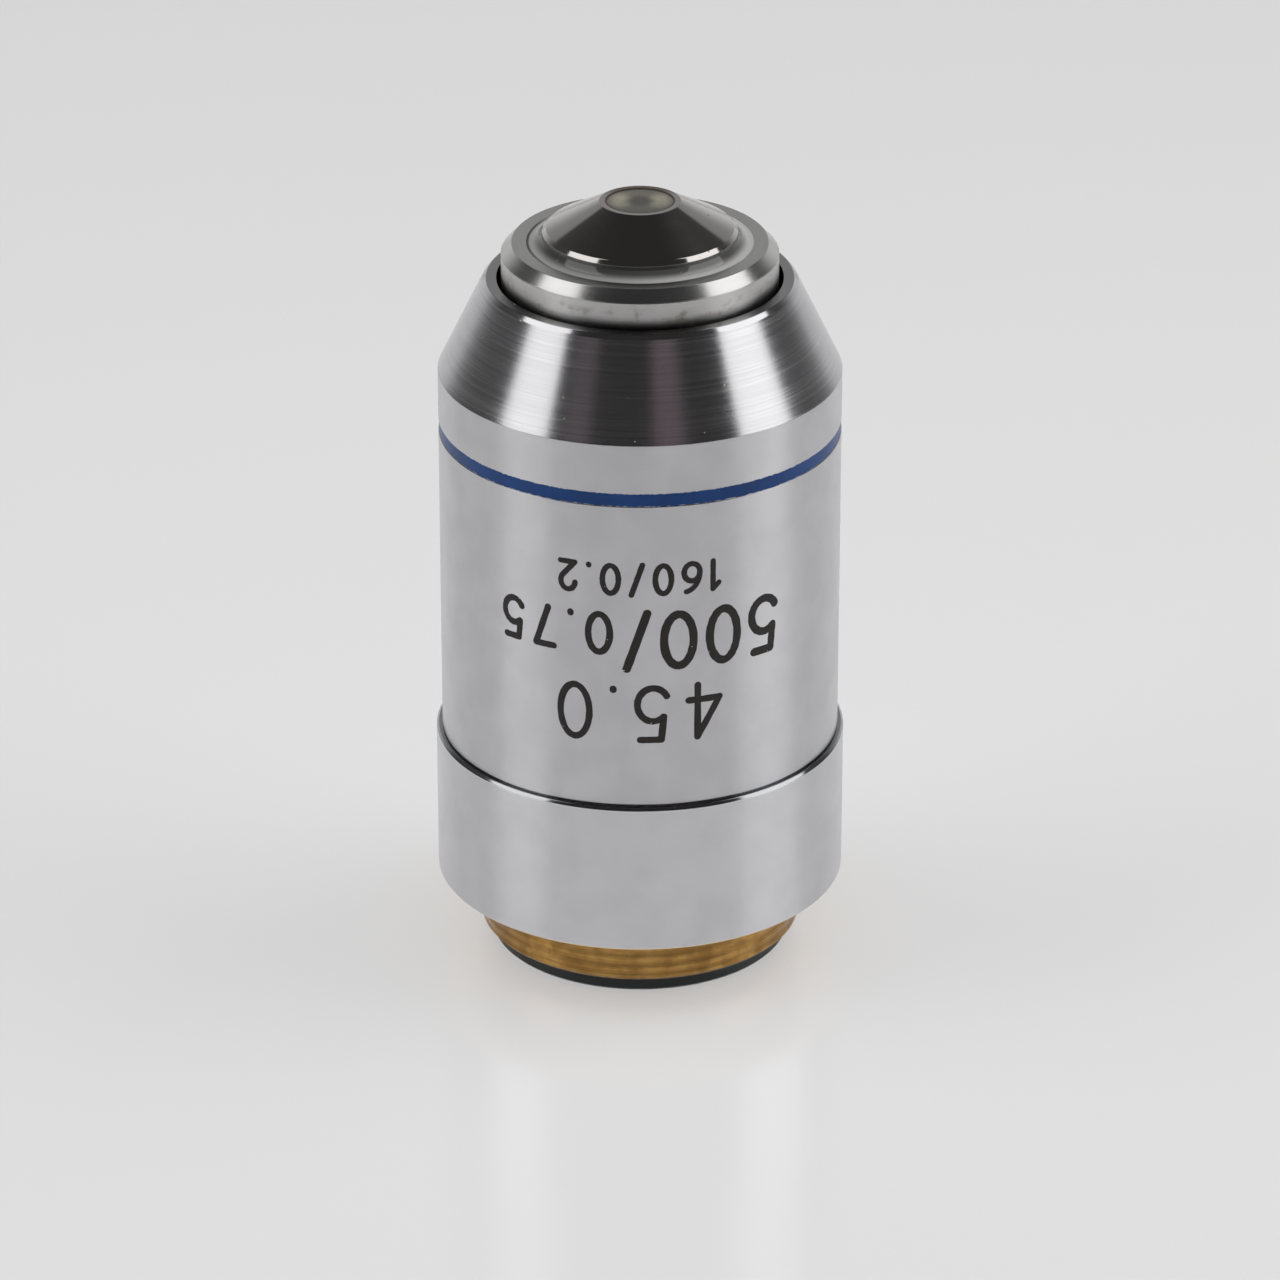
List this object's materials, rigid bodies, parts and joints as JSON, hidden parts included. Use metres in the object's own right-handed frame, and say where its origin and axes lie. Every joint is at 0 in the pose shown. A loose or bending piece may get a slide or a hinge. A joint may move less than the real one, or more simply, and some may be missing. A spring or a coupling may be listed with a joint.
{
  "type": "microscope objective",
  "caption": "Cylindrical microscope objective with a spring-loaded conical front, a blue colour band and a screw-in thread.",
  "frame": {"origin": "centre of the rear ring's face, on the surface the objective stands on", "axes": "+Z along the optical axis from the rear ring to the nose; the engraved side faces -Y"},
  "size_m": [0.0258, 0.0258, 0.0496],
  "materials": {
    "plated_body": "satin nickel plate on the collar, bare brass on thread and edge",
    "satin_plate": "satin nickel plate on turned brass",
    "band_enamel": "blue enamel",
    "black_metal": "black anodised, satin",
    "steel": "plain steel",
    "spring_steel": "drawn spring wire",
    "bare_brass": "turned brass",
    "black_brass": "blackened brass, matt",
    "polished_plate": "polished nickel plate",
    "cement": "set cement, matt",
    "optical_glass": "coated optical glass"
  },
  "bodies": {
    "housing": {"mount_body": "plated_body", "outer_sleeve": "satin_plate", "colour_band": "band_enamel", "rear_ring": "black_metal", "parfocal_shim": "bare_brass", "guide_screw": "steel", "compression_spring": "spring_steel"},
    "front_group": {"lens_barrel": "bare_brass", "front_cap": "polished_plate", "nose_cone": "polished_plate", "cement_bead": "cement", "front_lens": "optical_glass", "meniscus_cell": "black_brass", "meniscus_lens": "optical_glass", "front_doublet_cell": "black_brass", "front_crown_lens": "optical_glass", "front_flint_lens": "optical_glass", "middle_doublet_cell": "black_brass", "middle_crown_lens": "optical_glass", "middle_flint_lens": "optical_glass", "spacer_tube": "black_brass", "rear_cell": "black_brass", "rear_upper_lens": "optical_glass", "rear_spacer_ring": "black_brass", "rear_lower_lens": "optical_glass", "aperture_stop": "black_brass", "lock_ring": "black_brass"}
  },
  "joints": [
    {"name": "front_retraction", "type": "slide", "parent": "housing", "child": "front_group", "axis": [0, 0, -1], "range_m": [0, 0.0025], "stiffness_N_per_m": 480, "springref_m": -0.0035, "deforming": ["compression_spring"]}
  ]
}
